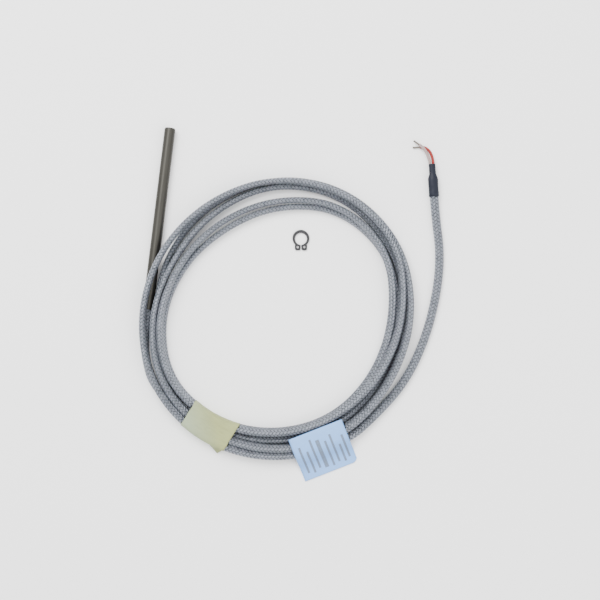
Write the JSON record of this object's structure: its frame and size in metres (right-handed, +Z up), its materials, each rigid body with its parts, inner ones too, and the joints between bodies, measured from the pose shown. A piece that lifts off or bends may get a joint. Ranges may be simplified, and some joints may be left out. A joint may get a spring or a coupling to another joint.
{
  "type": "thermocouple",
  "caption": "Round steel-sheathed temperature probe on a flat wire-braided lead, coiled and taped, with two stripped wire ends and a loose retaining ring.",
  "frame": {"origin": "centre of the sheath's open end, on the sheath's axis, where the lead leaves it", "axes": "+Y along the sheath towards its closed tip, +Z up from the surface it lies on, which is 3 mm below the origin"},
  "size_m": [0.162, 0.1931, 0.0112],
  "materials": {
    "stainless_sheath": "drawn and brushed, slightly dull",
    "white_side_wire": "stranded bare wire, dull grey",
    "red_side_wire": "stranded bare wire, slightly warm grey",
    "white_glass_braid": "woven glass sleeving, off-white",
    "red_glass_braid": "woven glass sleeving, red",
    "weld_bead": "heat-tinted weld",
    "magnesia": "compacted powder",
    "bead_ceramic": "fired, matt",
    "ceramic_cement": "cast, matt",
    "glass_jacket": "woven glass jacket",
    "steel_overbraid": "woven stainless wire braid",
    "masking_tape": "creped masking tape, cream",
    "label_paper": "matt paper label with grey print bars",
    "heat_shrink": "black shrunk sleeve",
    "spring_steel": "phosphated spring steel, dark grey"
  },
  "bodies": {
    "root": {"sheath_tube": "stainless_sheath", "tip_cap": "stainless_sheath", "thermoelement_white": "white_side_wire", "thermoelement_red": "red_side_wire", "core_insulation_white": "white_glass_braid", "core_insulation_red": "red_glass_braid", "hot_junction": "weld_bead", "tip_filler": "magnesia", "overbraid_end": "steel_overbraid", "jacket_end": "glass_jacket", "cement_seal": "ceramic_cement", "lead_coil": "steel_overbraid", "lead_tail": "steel_overbraid", "tape_wrap": "masking_tape", "label": "label_paper", "heat_shrink_sleeve": "heat_shrink", "wire_insulation_white": "white_glass_braid", "wire_insulation_red": "red_glass_braid", "wire_white": "white_side_wire", "wire_red": "red_side_wire", "insulator_bead_1": "bead_ceramic", "insulator_bead_2": "bead_ceramic", "insulator_bead_3": "bead_ceramic", "insulator_bead_4": "bead_ceramic", "insulator_bead_5": "bead_ceramic"},
    "loose_ring": {"retaining_ring": "spring_steel"}
  },
  "joints": [
    {"name": "ring_lift", "type": "slide", "parent": "root", "child": "loose_ring", "axis": [0, 0, 1], "range_m": [0, 0.03]}
  ]
}
